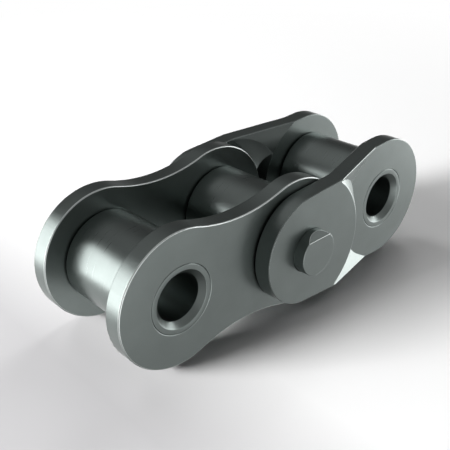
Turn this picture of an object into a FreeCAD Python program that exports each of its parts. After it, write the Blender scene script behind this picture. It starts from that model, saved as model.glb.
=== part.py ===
import FreeCAD, Part
import math
import os

# Offset chain link: a straight half, a cranked half, and the pin that joins them.
# Millimetres. X runs along the chain, Y across it, Z up. The origin is on the axis
# of the end bushing, midway between the plates.

# Chain sizes
PITCH = 25.4
INNER_WIDTH = 16.5
PLATE_T = 3.2
PIN_R = 3.96
PIN_END = 2.05
ROLLER_R = 8.05
BUSH_WALL = 1.85

# Plate outlines
LOBE_R = 11.8
WAIST_H = 9.75
WIDE_R = 10.0

# Crank of the offset plates: a ramp that follows the narrow end meets a wall about the pin
RAMP_RUN = 3.49
RAMP_END = 5.95
WALL_RUN = 1.1
WALL_SWELL = 0.35
FACE_R = 12.7

# Clearances
PIN_CLEAR = 0.09
ROLLER_CLEAR = 0.08
ROLLER_SIDE = 0.15
SIDE_GAP = 0.25
POCKET_CLEAR = 1.1
SEAT_CLEAR = 0.6

# Broken edges
EDGE = 0.12
HOLE_EDGE = 0.1
BORE_CHAMFER = 0.95
PIN_ROUND = 0.35
PIN_FLAT = 1.05
ROLLER_ROUND = 0.4

# Planes across the chain, measured from the middle
Y_IN = INNER_WIDTH / 2
Y_OUT = Y_IN + PLATE_T
Y_WIDE = Y_OUT + SIDE_GAP
Y_FACE = Y_WIDE + PLATE_T
Y_PIN = Y_FACE + PIN_END

# Radii of the turned pieces
BORE_R = PIN_R + PIN_CLEAR
BUSH_R = BORE_R + BUSH_WALL
ROLLER_BORE_R = BUSH_R + ROLLER_CLEAR

# The crank's circles
POCKET_R = LOBE_R + POCKET_CLEAR
SEAT_R = WIDE_R + SEAT_CLEAR

ALONG_Y = FreeCAD.Vector(0, 1, 0)


def at(x, z, y=0.0):
    return FreeCAD.Vector(x, y, z)


def rod(x, y0, y1, r):
    return Part.makeCylinder(r, y1 - y0, at(x, 0, y0), ALONG_Y)


def taper(x, y0, y1, r0, r1):
    return Part.makeCone(r0, r1, y1 - y0, at(x, 0, y0), ALONG_Y)


def slab(edges, y0, y1):
    face = Part.Face(Part.Wire(edges))
    face.translate(at(0, 0, y0))
    return face.extrude(at(0, 0, y1 - y0))


def arc_about(cx, cz, r, a0, a1):
    am = (a0 + a1) / 2
    points = []
    for a in (a0, am, a1):
        points.append(at(cx + r * math.cos(a), cz + r * math.sin(a)))
    return Part.Arc(points[0], points[1], points[2]).toShape()


def line(p, q):
    return Part.makeLine(at(p[0], p[1]), at(q[0], q[1]))


def turned(profile):
    # profile points are (y, r), turned about the Y axis through x = 0
    points = []
    for y, r in profile:
        points.append(at(r, 0, y))
    points.append(points[0])
    face = Part.Face(Part.makePolygon(points))
    return face.revolve(at(0, 0), ALONG_Y, 360)


def bored(plate, x, r, y0, y1):
    # a straight hole with a broken edge at both faces
    hole = rod(x, y0 - 1, y1 + 1, r)
    low = taper(x, y0, y0 + HOLE_EDGE, r + HOLE_EDGE, r)
    high = taper(x, y1 - HOLE_EDGE, y1, r, r + HOLE_EDGE)
    return plate.cut(hole.fuse([low, high]))


def on_side(face):
    # true for the faces a plate is blanked with, square to its flat faces
    u0, u1, v0, v1 = face.ParameterRange
    n = face.normalAt((u0 + u1) / 2, (v0 + v1) / 2)
    if abs(n.y) > 0.01:
        return False
    if isinstance(face.Surface, Part.Plane):
        return abs(n.z) > 0.5
    middle_x = face.CenterOfMass.x
    return middle_x < PITCH or middle_x > 2 * PITCH


def rims(plate, y):
    # outline edges lying in the flat face at this y
    found = []
    for edge in side_edges(plate):
        box = edge.BoundBox
        if abs(box.YMin - y) < 0.01 and abs(box.YMax - y) < 0.01:
            found.append(edge)
    return found


def slopes(plate, y0, y1):
    # outline edges climbing through the crank between these two faces
    found = []
    for edge in side_edges(plate):
        box = edge.BoundBox
        if box.YMin > y0 - 0.5 and box.YMax < y1 + 0.5 and box.YMax - box.YMin > 1:
            found.append(edge)
    return found


def side_edges(plate):
    # edges that one blanked side face shares with some other kind of face
    sides = []
    for face in plate.Faces:
        if on_side(face):
            sides.extend(face.Edges)
    found = []
    for edge in sides:
        if sum(1 for other in sides if edge.isSame(other)) == 1:
            found.append(edge)
    return found


# Figure-eight inner plate
def inner_plate():
    waist_r = (PITCH ** 2 / 4 + WAIST_H ** 2 - LOBE_R ** 2) / (2 * (LOBE_R - WAIST_H))
    mid = PITCH / 2
    high = WAIST_H + waist_r
    a = math.atan2(high, mid)
    edges = [
        arc_about(0, 0, LOBE_R, a, 2 * math.pi - a),
        arc_about(mid, -high, waist_r, math.pi - a, a),
        arc_about(PITCH, 0, LOBE_R, a - math.pi, math.pi - a),
        arc_about(mid, high, waist_r, -a, a - math.pi),
    ]
    plate = slab(edges, Y_IN, Y_OUT)
    for y in (Y_IN, Y_OUT):
        plate = plate.makeChamfer(EDGE, rims(plate, y))
    plate = bored(plate, 0, BUSH_R, Y_IN, Y_OUT)
    return bored(plate, PITCH, BUSH_R, Y_IN, Y_OUT)


# Ground plan of the narrow end, its arc running on straight past the outline, swept from
# y0 to y1 while it drifts back along the chain
def narrow_plan(y0, y1, drift):
    x = 2 * PITCH - RAMP_END
    z = math.sqrt(LOBE_R ** 2 - RAMP_END ** 2)
    a = math.pi - math.atan2(z, RAMP_END)
    high = 2 * LOBE_R
    out = x + (high - z) * z / RAMP_END
    far = 4 * PITCH
    edges = [
        arc_about(2 * PITCH, 0, LOBE_R, a, 2 * math.pi - a),
        line((x, -z), (out, -high)),
        line((out, -high), (far, -high)),
        line((far, -high), (far, high)),
        line((far, high), (out, high)),
        line((out, high), (x, z)),
    ]
    face = Part.Face(Part.Wire(edges))
    face.translate(at(0, 0, y0))
    return face.extrude(at(-drift, 0, y1 - y0))


# Dish about the pin axis, with a hollow wall
def dish(wall):
    rim = at(POCKET_R + wall, 0, Y_IN)
    foot = at(POCKET_R, 0, Y_WIDE)
    bulge = at(POCKET_R + wall / 2 + WALL_SWELL, 0, (Y_IN + Y_WIDE) / 2 + WALL_SWELL)
    low = at(0, 0, Y_IN)
    high = at(0, 0, Y_WIDE)
    edges = [
        Part.makeLine(low, rim),
        Part.Arc(rim, bulge, foot).toShape(),
        Part.makeLine(foot, high),
        Part.makeLine(high, low),
    ]
    piece = Part.Face(Part.Wire(edges)).revolve(at(0, 0), ALONG_Y, 360)
    piece.translate(at(PITCH, 0))
    return piece


# Cranked offset plate: wide end outside the inner plate, narrow end in line with it
def offset_plate():
    lean = math.asin((LOBE_R - WIDE_R) / PITCH)
    a = math.pi / 2 + lean
    wide_x = PITCH + WIDE_R * math.cos(a)
    wide_z = WIDE_R * math.sin(a)
    narrow_x = 2 * PITCH + LOBE_R * math.cos(a)
    narrow_z = LOBE_R * math.sin(a)
    edges = [
        arc_about(PITCH, 0, WIDE_R, a, 2 * math.pi - a),
        line((wide_x, -wide_z), (narrow_x, -narrow_z)),
        arc_about(2 * PITCH, 0, LOBE_R, -a, a),
        line((narrow_x, narrow_z), (wide_x, wide_z)),
    ]
    blank = slab(edges, Y_IN, Y_FACE)
    step = Y_WIDE - Y_IN
    ramp = step * RAMP_RUN
    wall = step * WALL_RUN

    # both sides ramp down from the narrow end, the outer one round the raised wide end
    below = Part.makeBox(4 * PITCH, step, 4 * PITCH, at(-PITCH, -2 * PITCH, Y_IN))
    recess = narrow_plan(Y_OUT, Y_FACE, ramp)
    recess = recess.cut(taper(PITCH, Y_OUT, Y_FACE, FACE_R + wall, FACE_R))
    plate = blank.cut(below.cut(narrow_plan(Y_IN, Y_WIDE, ramp))).cut(recess)
    for wide, narrow in ((Y_FACE, Y_OUT), (Y_WIDE, Y_IN)):
        plate = plate.makeChamfer(EDGE, rims(plate, wide))
        plate = plate.makeChamfer(EDGE, rims(plate, narrow))
        plate = plate.makeChamfer(EDGE, slopes(plate, narrow, wide))

    # a dish in which this link's inner plate turns, and a seat for the next link's wide end
    hollow = dish(wall).cut(narrow_plan(Y_IN, Y_WIDE, 0))
    hollow = hollow.fuse(rod(PITCH, Y_IN, Y_WIDE, POCKET_R))
    seat = rod(2 * PITCH, Y_OUT, Y_FACE, SEAT_R)
    plate = plate.cut(hollow).cut(seat).removeSplitter()
    plate = bored(plate, PITCH, PIN_R, Y_WIDE, Y_FACE)
    return bored(plate, 2 * PITCH, BUSH_R, Y_IN, Y_OUT)


# Bushing, flush with the outer faces of its plates
def bushing(x):
    c = BORE_CHAMFER
    e = HOLE_EDGE
    profile = [
        (-Y_OUT, BORE_R + c),
        (-Y_OUT, BUSH_R - e),
        (-Y_OUT + e, BUSH_R),
        (Y_OUT - e, BUSH_R),
        (Y_OUT, BUSH_R - e),
        (Y_OUT, BORE_R + c),
        (Y_OUT - c, BORE_R),
        (-Y_OUT + c, BORE_R),
    ]
    piece = turned(profile)
    piece.translate(at(x, 0))
    return piece


# Roller, free on its bushing between the plates
def roller(x):
    half = Y_IN - ROLLER_SIDE
    piece = rod(0, -half, half, ROLLER_R)
    piece = piece.makeFillet(ROLLER_ROUND, circles(piece, ROLLER_R))
    piece = piece.cut(rod(0, -half - 1, half + 1, ROLLER_BORE_R))
    piece = piece.makeChamfer(HOLE_EDGE, circles(piece, ROLLER_BORE_R))
    piece.translate(at(x, 0))
    return piece


def circles(shape, r):
    found = []
    for edge in shape.Edges:
        if isinstance(edge.Curve, Part.Circle) and abs(edge.Curve.Radius - r) < 0.001:
            found.append(edge)
    return found


# Pin, pressed into both wide ends, with a slanting flat on its near end
def pin():
    piece = rod(PITCH, -Y_PIN, Y_PIN, PIN_R)
    piece = piece.makeFillet(PIN_ROUND, circles(piece, PIN_R))
    top = PIN_R + 0.001
    corner = [
        at(0, top - PIN_FLAT, -Y_PIN - 0.001),
        at(0, top + PIN_FLAT, -Y_PIN - 0.001),
        at(0, top + PIN_FLAT, -Y_PIN + 2 * PIN_FLAT),
    ]
    wedge = Part.Face(Part.makePolygon(corner + corner[:1]))
    wedge.translate(at(PITCH - 2 * PIN_R, 0))
    return piece.cut(wedge.extrude(at(4 * PIN_R, 0)))


os.makedirs("parts", exist_ok=True)
middle = FreeCAD.Vector(0, 0, 0)
straight = inner_plate()
cranked = offset_plate()
pieces = {
    "inner_plate_near": straight.mirror(middle, ALONG_Y),
    "inner_plate_far": straight,
    "bushing_end": bushing(0),
    "bushing_middle": bushing(PITCH),
    "roller_end": roller(0),
    "roller_middle": roller(PITCH),
    "offset_plate_near": cranked.mirror(middle, ALONG_Y),
    "offset_plate_far": cranked,
    "bushing_offset": bushing(2 * PITCH),
    "roller_offset": roller(2 * PITCH),
    "pin": pin(),
}
for name, shape in pieces.items():
    print(name, shape.isValid(), len(shape.Solids), round(shape.Volume, 1))
    shape.exportStep("parts/" + name + ".step")
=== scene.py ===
import bpy
import bmesh
import math
from mathutils import Matrix, Vector


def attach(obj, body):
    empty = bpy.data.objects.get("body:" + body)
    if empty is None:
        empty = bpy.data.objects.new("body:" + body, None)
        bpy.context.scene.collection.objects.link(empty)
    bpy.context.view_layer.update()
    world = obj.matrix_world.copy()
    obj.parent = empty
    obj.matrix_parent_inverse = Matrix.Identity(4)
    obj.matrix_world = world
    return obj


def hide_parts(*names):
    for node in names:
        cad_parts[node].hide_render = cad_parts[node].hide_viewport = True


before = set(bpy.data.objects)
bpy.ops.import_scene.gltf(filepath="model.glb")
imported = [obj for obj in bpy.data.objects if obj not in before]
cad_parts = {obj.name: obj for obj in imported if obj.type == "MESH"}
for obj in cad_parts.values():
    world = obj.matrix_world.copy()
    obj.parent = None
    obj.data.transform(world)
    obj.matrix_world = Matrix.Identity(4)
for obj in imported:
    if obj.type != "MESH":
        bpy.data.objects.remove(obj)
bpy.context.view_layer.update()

MM = 0.001

# Sizes shared with the solids
PITCH = 25.4
INNER_WIDTH = 16.5
PLATE_T = 3.2
SIDE_GAP = 0.25
PIN_R = 3.96
PIN_END = 2.05
BORE_R = 4.05
BUSH_R = 5.9
ROLLER_R = 8.05
ROLLER_BORE_R = 5.98
ROLLER_SIDE = 0.15
BORE_CHAMFER = 0.95
HOLE_EDGE = 0.1
ROLLER_ROUND = 0.4
PIN_ROUND = 0.35
PIN_FLAT = 1.05
FACE_R = 12.7
FLOOR_Z = -11.8

HALF_BUSH = INNER_WIDTH / 2 + PLATE_T
HALF_ROLLER = INNER_WIDTH / 2 - ROLLER_SIDE
Y_FACE = HALF_BUSH + SIDE_GAP + PLATE_T
HALF_PIN = Y_FACE + PIN_END

# How far the sharp edges are eased
PLATE_EASE = 0.09
HOLE_EASE = 0.06
FACE_EASE = 0.15
PIN_EASE = 0.09
PIN_FRONT_ROUND = 0.12
RIM_ROUND = 0.04
CHAMFER_ROUND = 0.1

# How much painted highlight, partly tumbling wear, lightens the eased edges, from 0 to 1
FACE_HIGHLIGHT_AND_WEAR = 0.0
HOLE_HIGHLIGHT_AND_WEAR = 0.1
EDGE_HIGHLIGHT_AND_WEAR = 1.0

# How the meshes are made
FACETS = 128
CORNER_STEPS = 4
RING_R = 1.0
JOIN = 0.0001
ON_RIM = 0.02
HOLE_MARGIN = 0.3
FLAT_ANGLE = math.radians(0.6)
PLATE_EDGE_ANGLE = math.radians(11)
PIN_EDGE_ANGLE = math.radians(12)

# Faces of a plate whose normals lean further than this towards +Y carry no painted edge highlight
PLAIN_SIDE = 0.05

# Steel: dark and satin, the blanked plates drawn across and the turned pieces round the Y axis
GREY = (0.2, 0.2265, 0.2185)
# the lighter grey of the eased edges: a painted highlight, partly the grey of edges rubbed bright by
# tumbling
HIGHLIGHT_AND_WEAR_GREY = (0.58, 0.62, 0.61, 1)
ACROSS = (1.0, 0.04, 1.0)
ROUND = (0.025, 1.0, 0.025)
PATCH_SCALE = 160.0
PATCH_RANGE = (0.3, 0.7)
PATCH_TONE = 0.05
GRAIN_RANGE = (0.25, 0.75)
ROUGH_SPREAD = 0.05
RELIEF_DEPTH = 0.02


# Shader nodes

def new_group(name, inputs, outputs):
    tree = bpy.data.node_groups.new(name, "ShaderNodeTree")
    for label, kind, value in inputs:
        socket = tree.interface.new_socket(label, in_out="INPUT", socket_type=kind)
        if value is not None:
            socket.default_value = value
    for label, kind in outputs:
        tree.interface.new_socket(label, in_out="OUTPUT", socket_type=kind)
    return tree, tree.nodes.new("NodeGroupInput"), tree.nodes.new("NodeGroupOutput")


def noise(tree, vector, scale, detail, roughness=0.55):
    node = tree.nodes.new("ShaderNodeTexNoise")
    tree.links.new(scale, node.inputs["Scale"])
    node.inputs["Detail"].default_value = detail
    node.inputs["Roughness"].default_value = roughness
    tree.links.new(vector, node.inputs["Vector"])
    return node.outputs["Fac"]


def remapped(tree, value, low, high, out_low, out_high):
    node = tree.nodes.new("ShaderNodeMapRange")
    node.inputs["From Min"].default_value = low
    node.inputs["From Max"].default_value = high
    node.inputs["To Min"].default_value = out_low
    node.inputs["To Max"].default_value = out_high
    tree.links.new(value, node.inputs["Value"])
    return node.outputs["Result"]


def mixed(tree, factor, a, b):
    # a and b are colours or the outputs of other nodes
    node = tree.nodes.new("ShaderNodeMix")
    node.data_type = "RGBA"
    tree.links.new(factor, node.inputs["Factor"])
    for label, value in (("A", a), ("B", b)):
        if isinstance(value, tuple):
            node.inputs[label].default_value = value
        else:
            tree.links.new(value, node.inputs[label])
    return node.outputs["Result"]


def steel_marks():
    # fine lines drawn out along one direction over slow changes of tone
    tree, given, out = new_group(
        "steel marks",
        [
            ("Vector", "NodeSocketVector", None),
            ("Stretch", "NodeSocketVector", (1.0, 1.0, 1.0)),
            ("Grain Scale", "NodeSocketFloat", 5000.0),
            ("Patch Scale", "NodeSocketFloat", PATCH_SCALE),
        ],
        [("Grain", "NodeSocketFloat"), ("Patches", "NodeSocketFloat")],
    )
    drawn = tree.nodes.new("ShaderNodeMapping")
    tree.links.new(given.outputs["Vector"], drawn.inputs["Vector"])
    tree.links.new(given.outputs["Stretch"], drawn.inputs["Scale"])
    grain = noise(tree, drawn.outputs["Vector"], given.outputs["Grain Scale"], detail=3)
    patches = noise(tree, given.outputs["Vector"], given.outputs["Patch Scale"], detail=4)
    tree.links.new(grain, out.inputs["Grain"])
    tree.links.new(patches, out.inputs["Patches"])
    return tree


def steel(name, colour, roughness, bump, stretch, grain_scale):
    material = bpy.data.materials.new(name)
    material.use_nodes = True
    tree = material.node_tree
    shader = tree.nodes["Principled BSDF"]
    shader.inputs["Metallic"].default_value = 1.0
    place = tree.nodes.new("ShaderNodeTexCoord")
    marks = tree.nodes.new("ShaderNodeGroup")
    marks.node_tree = marks_group
    marks.inputs["Stretch"].default_value = stretch
    marks.inputs["Grain Scale"].default_value = grain_scale
    marks.inputs["Patch Scale"].default_value = PATCH_SCALE
    tree.links.new(place.outputs["Object"], marks.inputs["Vector"])

    darker = tuple(c * (1 - PATCH_TONE) for c in colour) + (1,)
    lighter = tuple(c * (1 + PATCH_TONE) for c in colour) + (1,)
    tone = mixed(tree, remapped(tree, marks.outputs["Patches"], *PATCH_RANGE, 0, 1), darker, lighter)
    # the eased edges are mixed toward a lighter grey: a painted highlight, partly tumbling wear
    highlight_and_wear_field = tree.nodes.new("ShaderNodeAttribute")
    highlight_and_wear_field.attribute_name = "highlight_and_wear"
    tree.links.new(mixed(tree, highlight_and_wear_field.outputs["Fac"], tone, HIGHLIGHT_AND_WEAR_GREY), shader.inputs["Base Color"])

    smoothest, roughest = roughness - ROUGH_SPREAD, roughness + ROUGH_SPREAD
    rough = remapped(tree, marks.outputs["Grain"], *GRAIN_RANGE, smoothest, roughest)
    tree.links.new(rough, shader.inputs["Roughness"])
    relief = tree.nodes.new("ShaderNodeBump")
    relief.inputs["Strength"].default_value = bump
    relief.inputs["Distance"].default_value = RELIEF_DEPTH * MM
    tree.links.new(marks.outputs["Grain"], relief.inputs["Height"])
    tree.links.new(relief.outputs["Normal"], shader.inputs["Normal"])
    return material


marks_group = steel_marks()
plate_steel = steel("plate steel", GREY, roughness=0.33, bump=0.25, stretch=ACROSS, grain_scale=5200.0)
bushing_steel = steel("bushing steel", GREY, roughness=0.33, bump=0.15, stretch=ROUND, grain_scale=6500.0)
roller_steel = steel("roller steel", GREY, roughness=0.31, bump=0.1, stretch=ROUND, grain_scale=6500.0)
pin_steel = steel("pin steel", GREY, roughness=0.33, bump=0.15, stretch=ROUND, grain_scale=6500.0)


# Pieces

def place_piece(name, mesh, body, node):
    piece = bpy.data.objects.new(name, mesh)
    bpy.context.scene.collection.objects.link(piece)
    even = piece.modifiers.new("even shading", "WEIGHTED_NORMAL")
    even.weight = 50
    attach(piece, body)
    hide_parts(node)


def on_face_rim(edge):
    # true on the arc where a crank's outer wall meets the flat wide face
    for vert in edge.verts:
        away = math.hypot(vert.co.x - PITCH * MM, vert.co.z)
        off_wall, off_face = abs(away - FACE_R * MM), abs(abs(vert.co.y) - Y_FACE * MM)
        if max(off_wall, off_face) > ON_RIM * MM:
            return False
    return True


def in_hole(edge):
    # true on the rims of the holes that hold the bushings and the pin
    middle = (edge.verts[0].co + edge.verts[1].co) / 2
    reach = (BUSH_R + HOLE_MARGIN) * MM
    return any(math.hypot(middle.x - k * PITCH * MM, middle.z) < reach for k in range(3))


def round_over(work, edges, offset, segments, highlight_and_wear):
    # the new faces carry a painted highlight, partly tumbling wear, which the steel shows as a lighter
    # grey
    made = bmesh.ops.bevel(
        work, geom=edges, offset=offset * MM, offset_type="OFFSET", segments=segments,
        profile=0.5, affect="EDGES", clamp_overlap=True, loop_slide=False,
    )
    highlight_and_wear_field = work.faces.layers.float["highlight_and_wear"]
    for face in made["faces"]:
        face[highlight_and_wear_field] = highlight_and_wear


def eased_plate(node, body):
    # the plate's own solid with its sharp edges rounded over
    mesh = bpy.data.meshes.new(node + "_eased")
    work = bmesh.new()
    work.from_mesh(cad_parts[node].data)
    bmesh.ops.remove_doubles(work, verts=work.verts, dist=JOIN * MM)
    bmesh.ops.dissolve_limit(work, angle_limit=FLAT_ANGLE, verts=work.verts, edges=work.edges)
    work.faces.layers.float.new("highlight_and_wear")
    round_over(work, [e for e in work.edges if on_face_rim(e)], FACE_EASE, 4, FACE_HIGHLIGHT_AND_WEAR)
    sharp = [e for e in work.edges if e.calc_face_angle(0) > PLATE_EDGE_ANGLE and not on_face_rim(e)]
    # the eased hole rims and outer edges are painted lighter: a painted highlight, partly tumbling wear
    round_over(work, [e for e in sharp if in_hole(e)], HOLE_EASE, 2, HOLE_HIGHLIGHT_AND_WEAR)
    round_over(work, [e for e in sharp if e.is_valid and not in_hole(e)], PLATE_EASE, 3, EDGE_HIGHLIGHT_AND_WEAR)
    highlight_and_wear = work.faces.layers.float["highlight_and_wear"]
    for face in work.faces:
        face.smooth = True
        # the painted edge highlight, partly tumbling wear, is kept off the faces that lean towards +Y, so
        # only the other edges are painted bright
        if face.normal.y > PLAIN_SIDE:
            face[highlight_and_wear] = 0.0
    work.to_mesh(mesh)
    work.free()
    mesh.materials.append(plate_steel)
    place_piece(node + "_eased", mesh, body, node)


for node, body in (
    ("inner_plate_near", "inner_link"),
    ("inner_plate_far", "inner_link"),
    ("offset_plate_near", "offset_link"),
    ("offset_plate_far", "offset_link"),
):
    eased_plate(node, body)


def turning_tree():
    # a closed half section, swept once round the Y axis at a chosen place along the chain
    tree = bpy.data.node_groups.new("turning", "GeometryNodeTree")
    face = tree.interface
    face.new_socket("Section", in_out="INPUT", socket_type="NodeSocketGeometry")
    for label, kind, value in (
        ("Facets", "NodeSocketInt", FACETS),
        ("Corner Steps", "NodeSocketInt", CORNER_STEPS),
        ("Place", "NodeSocketFloat", 0.0),
        ("Finish", "NodeSocketMaterial", None),
    ):
        socket = face.new_socket(label, in_out="INPUT", socket_type=kind)
        if value is not None:
            socket.default_value = value
    face.new_socket("Piece", in_out="OUTPUT", socket_type="NodeSocketGeometry")
    nodes, links = tree.nodes, tree.links
    given = nodes.new("NodeGroupInput")
    out = nodes.new("NodeGroupOutput")

    path = nodes.new("GeometryNodeMeshToCurve")
    links.new(given.outputs["Section"], path.inputs["Mesh"])
    radius = nodes.new("GeometryNodeInputNamedAttribute")
    radius.data_type = "FLOAT"
    radius.inputs["Name"].default_value = "corner"
    rounded = nodes.new("GeometryNodeFilletCurve")
    rounded.mode = "POLY"
    rounded.inputs["Limit Radius"].default_value = True
    links.new(path.outputs["Curve"], rounded.inputs["Curve"])
    links.new(given.outputs["Corner Steps"], rounded.inputs["Count"])
    links.new(radius.outputs["Attribute"], rounded.inputs["Radius"])

    ring = nodes.new("GeometryNodeCurvePrimitiveCircle")
    ring.mode = "RADIUS"
    ring.inputs["Radius"].default_value = RING_R * MM
    links.new(given.outputs["Facets"], ring.inputs["Resolution"])
    swept = nodes.new("GeometryNodeCurveToMesh")
    links.new(ring.outputs["Curve"], swept.inputs["Curve"])
    links.new(rounded.outputs["Curve"], swept.inputs["Profile Curve"])

    joined = nodes.new("GeometryNodeMergeByDistance")
    joined.inputs["Distance"].default_value = JOIN * MM
    links.new(swept.outputs["Mesh"], joined.inputs["Geometry"])
    offset = nodes.new("ShaderNodeCombineXYZ")
    links.new(given.outputs["Place"], offset.inputs["X"])
    laid = nodes.new("GeometryNodeTransform")
    laid.inputs["Rotation"].default_value = (math.radians(90), 0, 0)
    links.new(joined.outputs["Geometry"], laid.inputs["Geometry"])
    links.new(offset.outputs["Vector"], laid.inputs["Translation"])

    real = nodes.new("GeometryNodeRealizeInstances")
    links.new(laid.outputs["Geometry"], real.inputs["Geometry"])
    dressed = nodes.new("GeometryNodeSetMaterial")
    links.new(real.outputs["Geometry"], dressed.inputs["Geometry"])
    links.new(given.outputs["Finish"], dressed.inputs["Material"])
    links.new(dressed.outputs["Geometry"], out.inputs["Piece"])
    return tree


def set_input(modifier, label, value):
    for item in modifier.node_group.interface.items_tree:
        if item.item_type == "SOCKET" and item.in_out == "INPUT" and item.name == label:
            modifier[item.identifier] = value


def turned_mesh(name, section, place, finish):
    # section points are (radius, y, corner rounding) in millimetres, in order round the section,
    # and the ring that they are swept along already stands RING_R off the axis
    mesh = bpy.data.meshes.new(name + "_section")
    count = len(section)
    points = [((r - RING_R) * MM, y * MM, 0) for r, y, corner in section]
    mesh.from_pydata(points, [(i, (i + 1) % count) for i in range(count)], [])
    corner = mesh.attributes.new("corner", "FLOAT", "POINT")
    corner.data.foreach_set("value", [c * MM for r, y, c in section])
    holder = bpy.data.objects.new(name + "_section", mesh)
    bpy.context.scene.collection.objects.link(holder)
    turning = holder.modifiers.new("turning", "NODES")
    turning.node_group = turning_group
    set_input(turning, "Facets", FACETS)
    set_input(turning, "Corner Steps", CORNER_STEPS)
    set_input(turning, "Place", place * MM)
    set_input(turning, "Finish", finish)
    bpy.context.view_layer.update()
    depsgraph = bpy.context.evaluated_depsgraph_get()
    made = bpy.data.meshes.new_from_object(holder.evaluated_get(depsgraph))
    bpy.data.objects.remove(holder)
    made.name = name
    for polygon in made.polygons:
        polygon.use_smooth = True
    return made


turning_group = turning_tree()


def bushing_section():
    c, e, y, r = BORE_CHAMFER, HOLE_EDGE, HALF_BUSH, BUSH_R
    return [
        (BORE_R + c, -y, CHAMFER_ROUND), (r - e, -y, RIM_ROUND), (r, -y + e, RIM_ROUND),
        (r, y - e, RIM_ROUND), (r - e, y, RIM_ROUND), (BORE_R + c, y, CHAMFER_ROUND),
        (BORE_R, y - c, CHAMFER_ROUND), (BORE_R, -y + c, CHAMFER_ROUND),
    ]


def roller_section():
    e, y, b = HOLE_EDGE, HALF_ROLLER, ROLLER_BORE_R
    return [
        (b + e, -y, RIM_ROUND), (ROLLER_R, -y, ROLLER_ROUND), (ROLLER_R, y, ROLLER_ROUND),
        (b + e, y, RIM_ROUND), (b, y - e, RIM_ROUND), (b, -y + e, RIM_ROUND),
    ]


def pin_section():
    y = HALF_PIN
    return [(0, -y, 0), (PIN_R, -y, PIN_FRONT_ROUND), (PIN_R, y, PIN_ROUND), (0, y, 0)]


for name, place, link in (
    ("end", 0, "inner_link"),
    ("middle", PITCH, "inner_link"),
    ("offset", 2 * PITCH, "offset_link"),
):
    mesh = turned_mesh("bushing_" + name + "_turned", bushing_section(), place, bushing_steel)
    place_piece("bushing_" + name + "_turned", mesh, link, "bushing_" + name)
    mesh = turned_mesh("roller_" + name + "_turned", roller_section(), place, roller_steel)
    place_piece("roller_" + name + "_turned", mesh, name + "_roller", "roller_" + name)


def slanted_pin():
    # the round bar first, then its near end milled off at 45 degrees
    mesh = turned_mesh("pin_turned", pin_section(), PITCH, pin_steel)
    work = bmesh.new()
    work.from_mesh(mesh)
    bmesh.ops.dissolve_limit(work, angle_limit=FLAT_ANGLE, verts=work.verts, edges=work.edges)
    level = Vector((0, -HALF_PIN, PIN_R - PIN_FLAT)) * MM
    slope = Vector((0, -1, 1)).normalized()
    cut = bmesh.ops.bisect_plane(
        work, geom=work.verts[:] + work.edges[:] + work.faces[:], dist=JOIN * MM,
        plane_co=level, plane_no=slope, clear_outer=True,
    )
    rim = [e for e in cut["geom_cut"] if isinstance(e, bmesh.types.BMEdge)]
    flat = bmesh.ops.contextual_create(work, geom=rim)["faces"][0]
    bmesh.ops.recalc_face_normals(work, faces=work.faces)
    around = [e for e in flat.edges if e.calc_face_angle(0) > PIN_EDGE_ANGLE]
    # the flat's eased rim is painted lighter: a painted highlight, partly tumbling wear
    work.faces.layers.float.new("highlight_and_wear")
    round_over(work, around, PIN_EASE, 3, EDGE_HIGHLIGHT_AND_WEAR)
    for face in work.faces:
        face.smooth = True
    work.to_mesh(mesh)
    work.free()
    place_piece("pin_turned", mesh, "offset_link", "pin")


slanted_pin()


# Floor, light and camera

FLOOR_HALF = 6000.0
# painted shade on the floor, greyest at the straight end and fading out towards +X
PAPER_IN_PAINTED_SHADE = (0.58, 0.575, 0.585, 1)
PAPER_PALE = (0.9, 0.9, 0.9, 1)
PAINTED_SHADE_UP_TO = -14.0
PALE_FROM = 8.0
FADE_FROM = 70.0
FADE_TO = 260.0

# Each lamp for the floor: name, azimuth and elevation in degrees, width and height, watts
LAMP_DISTANCE = 800.0
FLOOR_LAMPS = (
    ("floor key", 160, 18, 300, 150, 8.6),
    ("low key", 156, 10, 300, 120, 6.6),
    ("high key", 168, 28, 300, 300, 2.2),
    ("low fill", 8, 12, 300, 300, 2.6),
    ("back fill", 90, 45, 300, 300, 1.3),
    ("right fill", 25, 45, 300, 300, 1.2),
)
# Each box that the steel shows: name, azimuth from and to, elevation from and to, brightness
SEEN_BOXES = (
    ("left box", 115, 158, -17, 28, 4.4),
    ("right box", -26, 8, -22, 24, 3.6),
    ("low box", -22, 14, -48, -33, 2.0),
    ("front strip", -50, -26, 0, 20, 3.2),
    ("left strip", -112, -70, -36, -6, 2.2),
)
# The tent's brightness on three sides by the height of the direction, from -1 to 1, and how
# far across X and Y one side turns into the next
TENT_R = 3000.0
LEFT_TO_FRONT = (-0.5, 0.1)
AHEAD_TO_REAR = (-0.25, 0.25)
TENT_FRONT = (
    (-1.0, 0.15), (-0.8, 0.25), (-0.6, 0.36), (-0.5, 0.5), (-0.4, 0.75), (-0.33, 0.9),
    (-0.15, 0.85), (0.1, 0.35), (0.45, 0.22), (1.0, 0.5),
)
TENT_LEFT = ((-1.0, 0.15), (-0.7, 0.36), (-0.3, 0.45), (0.1, 0.5), (0.6, 0.33), (1.0, 0.5))
TENT_REAR = (
    (-1.0, 0.15), (-0.82, 0.55), (-0.68, 0.95), (-0.3, 1.0), (-0.12, 0.8), (0.02, 0.2),
    (0.3, 0.08), (0.6, 0.12), (0.78, 0.45), (1.0, 0.5),
)
# The world's own light, and the share of the steel's stray light that the floor is spared
AMBIENT = 0.05
STRAY_CUT = 0.65

# The camera's place in chain pitches, and its angles in degrees
CAMERA_PLACE = (-2.2663, -3.2208, 2.3924)
CAMERA_YAW = 43.39
CAMERA_TILT = 27.9
CAMERA_ROLL = -0.2865
CAMERA_LENS = 57.498


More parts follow.
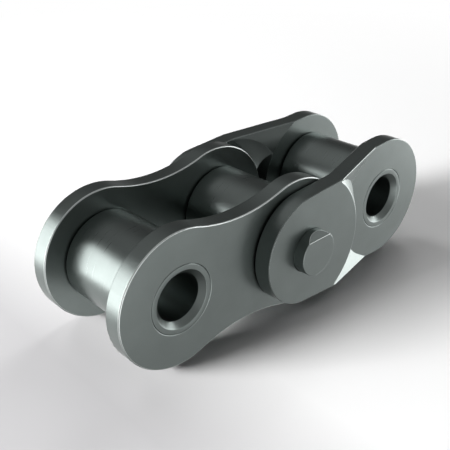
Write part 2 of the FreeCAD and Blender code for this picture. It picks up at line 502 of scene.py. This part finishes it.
def pale_floor():
    mesh = bpy.data.meshes.new("floor")
    s, z = FLOOR_HALF * MM, FLOOR_Z * MM
    corners = [(-s, -s, z), (s, -s, z), (s, s, z), (-s, s, z)]
    mesh.from_pydata(corners, [], [(0, 1, 2, 3)])
    floor = bpy.data.objects.new("floor", mesh)
    bpy.context.scene.collection.objects.link(floor)
    material = bpy.data.materials.new("pale floor")
    material.use_nodes = True
    tree = material.node_tree
    shader = tree.nodes["Principled BSDF"]
    # painted shade: the paper is painted greyer in front of the straight end
    place = tree.nodes.new("ShaderNodeTexCoord")
    parts = tree.nodes.new("ShaderNodeSeparateXYZ")
    tree.links.new(place.outputs["Object"], parts.inputs["Vector"])
    along = remapped(tree, parts.outputs["X"], PAINTED_SHADE_UP_TO * MM, PALE_FROM * MM, 0, 1)
    paper_with_painted_shade = mixed(tree, along, PAPER_IN_PAINTED_SHADE, PAPER_PALE)
    # away from the link it fades into the white of the air
    away = tree.nodes.new("ShaderNodeVectorMath")
    away.operation = "DISTANCE"
    away.inputs[1].default_value = (PITCH * MM, 0, FLOOR_Z * MM)
    tree.links.new(place.outputs["Object"], away.inputs[0])
    far = remapped(tree, away.outputs["Value"], FADE_FROM * MM, FADE_TO * MM, 0, 1)
    ray = tree.nodes.new("ShaderNodeLightPath")
    seen = tree.nodes.new("ShaderNodeMath")
    seen.operation = "MULTIPLY"
    tree.links.new(far, seen.inputs[0])
    tree.links.new(ray.outputs["Is Camera Ray"], seen.inputs[1])
    black, white = (0, 0, 0, 1), (1, 1, 1, 1)
    tree.links.new(mixed(tree, far, paper_with_painted_shade, black), shader.inputs["Base Color"])
    tree.links.new(mixed(tree, seen.outputs["Value"], black, white), shader.inputs["Emission Color"])
    shader.inputs["Emission Strength"].default_value = 1.0
    shader.inputs["Roughness"].default_value = 1.0
    shader.inputs["Specular IOR Level"].default_value = 0.0
    mesh.materials.append(material)
    # the steel looks through the floor, at the boxes and the tent below it
    floor.visible_glossy = False
    floor.visible_shadow = False


def towards(azimuth, elevation):
    # unit direction from compass angles in degrees, azimuth from +X towards +Y
    a, e = math.radians(azimuth), math.radians(elevation)
    return Vector((math.cos(a) * math.cos(e), math.sin(a) * math.cos(e), math.sin(e)))


def stray_cut(tree):
    # 1 where the steel is looked at, less where its reflected light would brighten the floor's shadow
    ray = tree.nodes.new("ShaderNodeLightPath")
    cut = tree.nodes.new("ShaderNodeMath")
    cut.operation = "MULTIPLY_ADD"
    cut.use_clamp = True
    cut.inputs[1].default_value = -STRAY_CUT
    cut.inputs[2].default_value = 1.0
    tree.links.new(ray.outputs["Diffuse Depth"], cut.inputs[0])
    return cut.outputs["Value"]


def softbox(name, azimuth, elevation, width, height, watts, reflected):
    # a reflected box shows in the steel only, any other lights the floor only
    data = bpy.data.lights.new(name, "AREA")
    data.shape = "RECTANGLE"
    data.size = width * MM
    data.size_y = height * MM
    data.energy = watts
    lamp = bpy.data.objects.new(name, data)
    direction = towards(azimuth, elevation)
    lamp.location = (Vector((PITCH, 0, 0)) + direction * LAMP_DISTANCE) * MM
    lamp.rotation_mode = "QUATERNION"
    lamp.rotation_quaternion = direction.to_track_quat("Z", "Y")
    if reflected:
        data.use_nodes = True
        tree = data.node_tree
        tree.links.new(stray_cut(tree), tree.nodes["Emission"].inputs["Strength"])
    lamp.visible_glossy = reflected
    lamp.visible_diffuse = not reflected
    lamp.visible_camera = False
    bpy.context.scene.collection.objects.link(lamp)


def seen_box(name, az0, az1, el0, el1, radiance):
    # a reflected softbox by the angles that it fills and by its brightness
    azimuth, elevation = (az0 + az1) / 2, (el0 + el1) / 2
    across = 2 * LAMP_DISTANCE * math.cos(math.radians(elevation))
    width = across * math.tan(math.radians((az1 - az0) / 2))
    height = 2 * LAMP_DISTANCE * math.tan(math.radians((el1 - el0) / 2))
    watts = radiance * math.pi * width * height * MM ** 2
    softbox(name, azimuth, elevation, width, height, watts, reflected=True)


def height_ramp(tree, height, stops):
    # brightness by the height of the direction, from straight down to straight up
    ramp = tree.nodes.new("ShaderNodeValToRGB")
    ramp.color_ramp.interpolation = "EASE"
    while len(ramp.color_ramp.elements) < len(stops):
        ramp.color_ramp.elements.new(0.5)
    for element, (z, value) in zip(ramp.color_ramp.elements, stops):
        element.position = (z + 1) / 2
        element.color = (value, value, value, 1)
    tree.links.new(height, ramp.inputs["Fac"])
    return ramp.outputs["Color"]


def light_tent():
    # a grey tent round the set, which only the steel shows
    mesh = bpy.data.meshes.new("light tent")
    work = bmesh.new()
    bmesh.ops.create_uvsphere(work, u_segments=48, v_segments=24, radius=TENT_R * MM)
    work.to_mesh(mesh)
    work.free()
    tent = bpy.data.objects.new("light tent", mesh)
    bpy.context.scene.collection.objects.link(tent)
    material = bpy.data.materials.new("tent cloth")
    material.use_nodes = True
    tree = material.node_tree
    tree.nodes.remove(tree.nodes["Principled BSDF"])
    glow = tree.nodes.new("ShaderNodeEmission")
    place = tree.nodes.new("ShaderNodeTexCoord")
    unit = tree.nodes.new("ShaderNodeVectorMath")
    unit.operation = "NORMALIZE"
    parts = tree.nodes.new("ShaderNodeSeparateXYZ")
    tree.links.new(place.outputs["Object"], unit.inputs[0])
    tree.links.new(unit.outputs["Vector"], parts.inputs["Vector"])
    height = remapped(tree, parts.outputs["Z"], -1, 1, 0, 1)
    front = height_ramp(tree, height, TENT_FRONT)
    left = height_ramp(tree, height, TENT_LEFT)
    rear = height_ramp(tree, height, TENT_REAR)
    ahead = mixed(tree, remapped(tree, parts.outputs["X"], *LEFT_TO_FRONT, 0, 1), left, front)
    round_about = mixed(tree, remapped(tree, parts.outputs["Y"], *AHEAD_TO_REAR, 0, 1), ahead, rear)
    tree.links.new(round_about, glow.inputs["Color"])
    tree.links.new(stray_cut(tree), glow.inputs["Strength"])
    tree.links.new(glow.outputs["Emission"], tree.nodes["Material Output"].inputs["Surface"])
    material.cycles.emission_sampling = "NONE"
    mesh.materials.append(material)
    tent.visible_camera = False
    tent.visible_diffuse = False
    tent.visible_transmission = False
    tent.visible_shadow = False


def studio_air():
    # white wherever it is seen, dim as a light
    world = bpy.data.worlds.new("studio air")
    world.use_nodes = True
    tree = world.node_tree
    ray = tree.nodes.new("ShaderNodeLightPath")
    seen = ray.outputs["Is Camera Ray"]
    for label in ("Is Glossy Ray", "Is Transmission Ray"):
        either = tree.nodes.new("ShaderNodeMath")
        either.operation = "MAXIMUM"
        tree.links.new(seen, either.inputs[0])
        tree.links.new(ray.outputs[label], either.inputs[1])
        seen = either.outputs["Value"]
    air = mixed(tree, seen, (AMBIENT, AMBIENT, AMBIENT, 1), (1, 1, 1, 1))
    tree.links.new(air, tree.nodes["Background"].inputs["Color"])
    bpy.context.scene.world = world


def photo_camera():
    data = bpy.data.cameras.new("camera")
    data.sensor_width = 36.0
    data.lens = CAMERA_LENS
    data.clip_start = 0.005
    data.clip_end = 50.0
    camera = bpy.data.objects.new("camera", data)
    yaw, tilt, roll = (math.radians(a) for a in (CAMERA_YAW, CAMERA_TILT, CAMERA_ROLL))
    level = math.cos(tilt)
    ahead = Vector((math.sin(yaw) * level, math.cos(yaw) * level, -math.sin(tilt)))
    right = Vector((math.cos(yaw), -math.sin(yaw), 0))
    up = right.cross(ahead)
    across = right * math.cos(roll) + up * math.sin(roll)
    above = up * math.cos(roll) - right * math.sin(roll)
    x, y, z = (a * PITCH * MM for a in CAMERA_PLACE)
    camera.matrix_world = Matrix((
        (across.x, above.x, -ahead.x, x),
        (across.y, above.y, -ahead.y, y),
        (across.z, above.z, -ahead.z, z),
        (0, 0, 0, 1),
    ))
    bpy.context.scene.collection.objects.link(camera)
    bpy.context.scene.camera = camera


pale_floor()
studio_air()
light_tent()
for name, az0, az1, el0, el1, radiance in SEEN_BOXES:
    seen_box(name, az0, az1, el0, el1, radiance)
for name, azimuth, elevation, width, height, watts in FLOOR_LAMPS:
    softbox(name, azimuth, elevation, width, height, watts, reflected=False)
photo_camera()
bpy.context.scene.view_settings.view_transform = "Standard"
